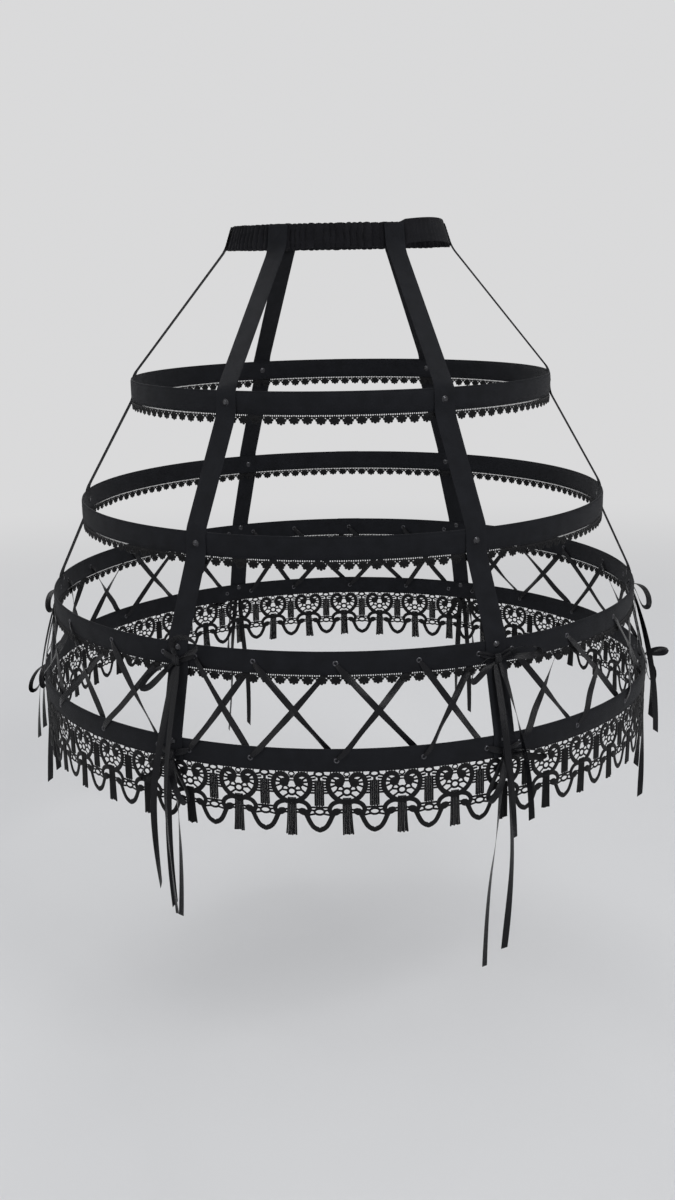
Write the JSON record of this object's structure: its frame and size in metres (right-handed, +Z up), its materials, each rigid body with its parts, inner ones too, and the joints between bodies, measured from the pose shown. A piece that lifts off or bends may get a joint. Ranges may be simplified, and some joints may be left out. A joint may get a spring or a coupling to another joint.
{
  "type": "crinoline cage",
  "caption": "Cage crinoline worn at the waist: gathered band, tape straps, stiffened hoops, deep lace hem, criss-cross ribbon lacing and bows with tails",
  "frame": {"origin": "centre of the waistband, where the wearer's waist holds the skirt", "axes": "+Z up along the wearer, the front faces -Y, +X is right as seen from the front"},
  "size_m": [0.8328, 0.7848, 0.7831],
  "materials": {
    "waistband": "matte",
    "tape": "matte",
    "strip": "matte",
    "joiner": "satin",
    "rivet": "polished",
    "lace": "matte",
    "ribbon": "satin"
  },
  "bodies": {
    "root": {"bows_back_left": "ribbon", "bows_back_right": "ribbon", "bows_front_left": "ribbon", "bows_front_right": "ribbon", "bows_side_left": "ribbon", "bows_side_right": "ribbon", "hem_lace": "lace", "hoop_joiners": "joiner", "hoop_strip_1": "strip", "hoop_strip_2": "strip", "hoop_strip_3": "strip", "hoop_strip_4": "strip", "hoop_tape_1": "tape", "hoop_tape_2": "tape", "hoop_tape_3": "tape", "hoop_tape_4": "tape", "lacing_back_a": "ribbon", "lacing_back_b": "ribbon", "lacing_back_left_a": "ribbon", "lacing_back_left_b": "ribbon", "lacing_back_right_a": "ribbon", "lacing_back_right_b": "ribbon", "lacing_front_a": "ribbon", "lacing_front_b": "ribbon", "lacing_front_left_a": "ribbon", "lacing_front_left_b": "ribbon", "lacing_front_right_a": "ribbon", "lacing_front_right_b": "ribbon", "rivets": "rivet", "strap_back_left": "tape", "strap_back_right": "tape", "strap_front_left": "tape", "strap_front_right": "tape", "strap_side_left": "tape", "strap_side_right": "tape", "tail_lower_back_left_1": "ribbon", "tail_lower_back_left_2": "ribbon", "tail_lower_back_right_1": "ribbon", "tail_lower_back_right_2": "ribbon", "tail_lower_front_left_1": "ribbon", "tail_lower_front_left_2": "ribbon", "tail_lower_front_right_1": "ribbon", "tail_lower_front_right_2": "ribbon", "tail_lower_side_left_1": "ribbon", "tail_lower_side_left_2": "ribbon", "tail_lower_side_right_1": "ribbon", "tail_lower_side_right_2": "ribbon", "tail_upper_back_left_1": "ribbon", "tail_upper_back_left_2": "ribbon", "tail_upper_back_right_1": "ribbon", "tail_upper_back_right_2": "ribbon", "tail_upper_front_left_1": "ribbon", "tail_upper_front_left_2": "ribbon", "tail_upper_front_right_1": "ribbon", "tail_upper_front_right_2": "ribbon", "tail_upper_side_left_1": "ribbon", "tail_upper_side_left_2": "ribbon", "tail_upper_side_right_1": "ribbon", "tail_upper_side_right_2": "ribbon", "waistband": "waistband"}
  },
  "joints": []
}
